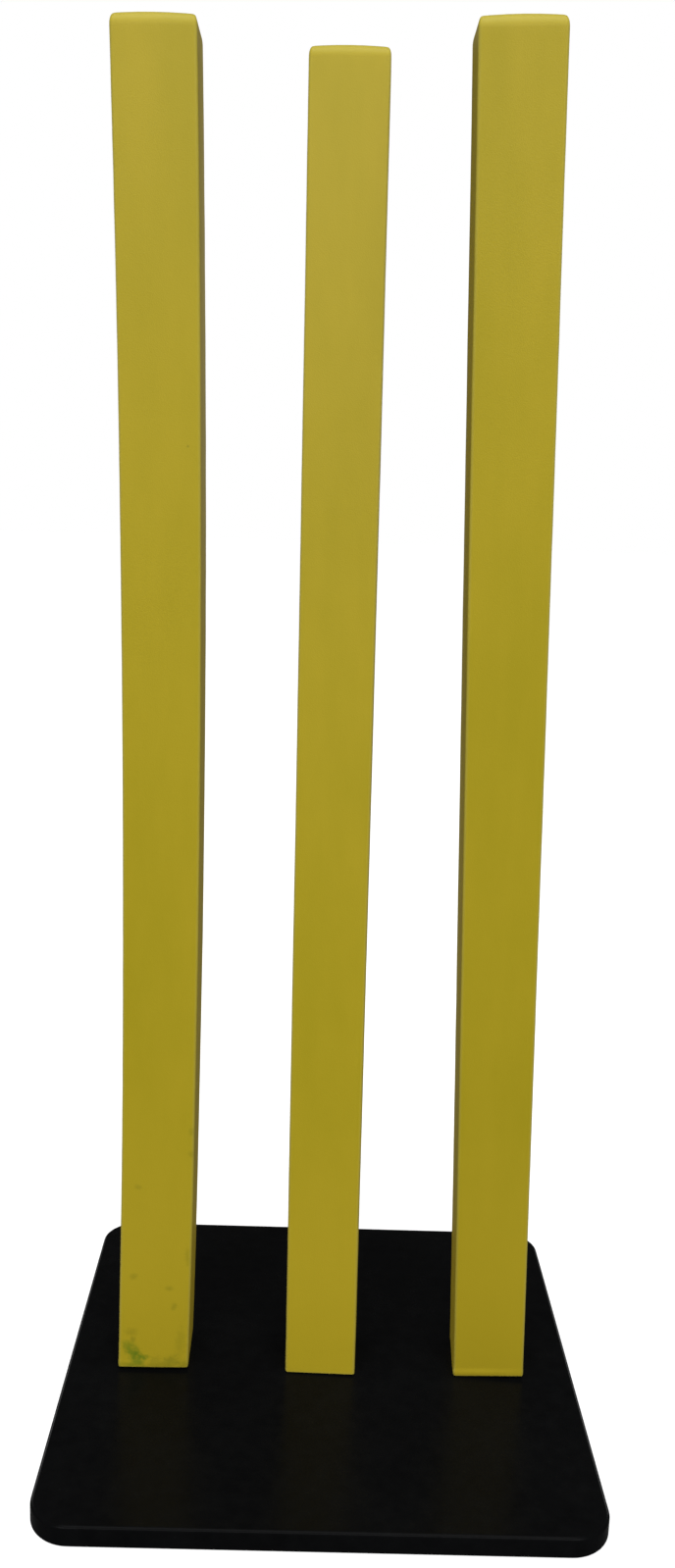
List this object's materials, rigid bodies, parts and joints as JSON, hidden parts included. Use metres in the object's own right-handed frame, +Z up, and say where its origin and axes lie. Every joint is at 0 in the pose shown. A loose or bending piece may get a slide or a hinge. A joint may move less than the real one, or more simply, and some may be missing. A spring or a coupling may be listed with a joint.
{
  "type": "cricket stumps",
  "caption": "Square foam cricket stumps in a row on a flat square rubber base, each on a rubber root that lets it tilt fore and aft and spring back.",
  "frame": {"origin": "middle of the base's underside, on the ground", "axes": "+X along the row of stumps, to the right as the picture shows it; +Y away from the bowler; +Z up"},
  "size_m": [0.292, 0.292, 0.7233],
  "materials": {
    "stump_foam": "matte",
    "base_rubber": "satin",
    "buffer_rubber": "matte",
    "core_plastic": "satin",
    "fixing_steel": "satin"
  },
  "bodies": {
    "base": {"base_plate": "base_rubber", "left_root_bolt": "fixing_steel", "left_root_washer": "fixing_steel", "left_buffer_socket": "fixing_steel", "left_root_buffer": "buffer_rubber", "left_foam_heel": "stump_foam", "middle_root_bolt": "fixing_steel", "middle_root_washer": "fixing_steel", "middle_buffer_socket": "fixing_steel", "middle_root_buffer": "buffer_rubber", "middle_foam_heel": "stump_foam", "right_root_bolt": "fixing_steel", "right_root_washer": "fixing_steel", "right_buffer_socket": "fixing_steel", "right_root_buffer": "buffer_rubber", "right_foam_heel": "stump_foam"},
    "left_stump": {"left_foam_bar": "stump_foam", "left_buffer_stud": "fixing_steel", "left_core_plug": "core_plastic", "left_core_tube": "core_plastic", "left_tube_cap": "core_plastic"},
    "middle_stump": {"middle_foam_bar": "stump_foam", "middle_buffer_stud": "fixing_steel", "middle_core_plug": "core_plastic", "middle_core_tube": "core_plastic", "middle_tube_cap": "core_plastic"},
    "right_stump": {"right_foam_bar": "stump_foam", "right_buffer_stud": "fixing_steel", "right_core_plug": "core_plastic", "right_core_tube": "core_plastic", "right_tube_cap": "core_plastic"}
  },
  "joints": [
    {"name": "left_tilt", "type": "hinge", "parent": "base", "child": "left_stump", "pos_m": [-0.097, 0, 0.02], "axis": [-1, 0, 0], "range_deg": [-12.8, 17.2], "stiffness_Nm_per_rad": 18, "springref_deg": 0.13, "deforming": ["left_foam_heel", "left_root_buffer"]},
    {"name": "middle_tilt", "type": "hinge", "parent": "base", "child": "middle_stump", "pos_m": [0, 0, 0.02], "axis": [-1, 0, 0], "range_deg": [-16.2, 13.8], "stiffness_Nm_per_rad": 18, "springref_deg": -0.08, "deforming": ["middle_foam_heel", "middle_root_buffer"]},
    {"name": "right_tilt", "type": "hinge", "parent": "base", "child": "right_stump", "pos_m": [0.097, 0, 0.02], "axis": [-1, 0, 0], "range_deg": [-10.4, 19.6], "stiffness_Nm_per_rad": 18, "springref_deg": 0.32, "deforming": ["right_foam_heel", "right_root_buffer"]}
  ]
}
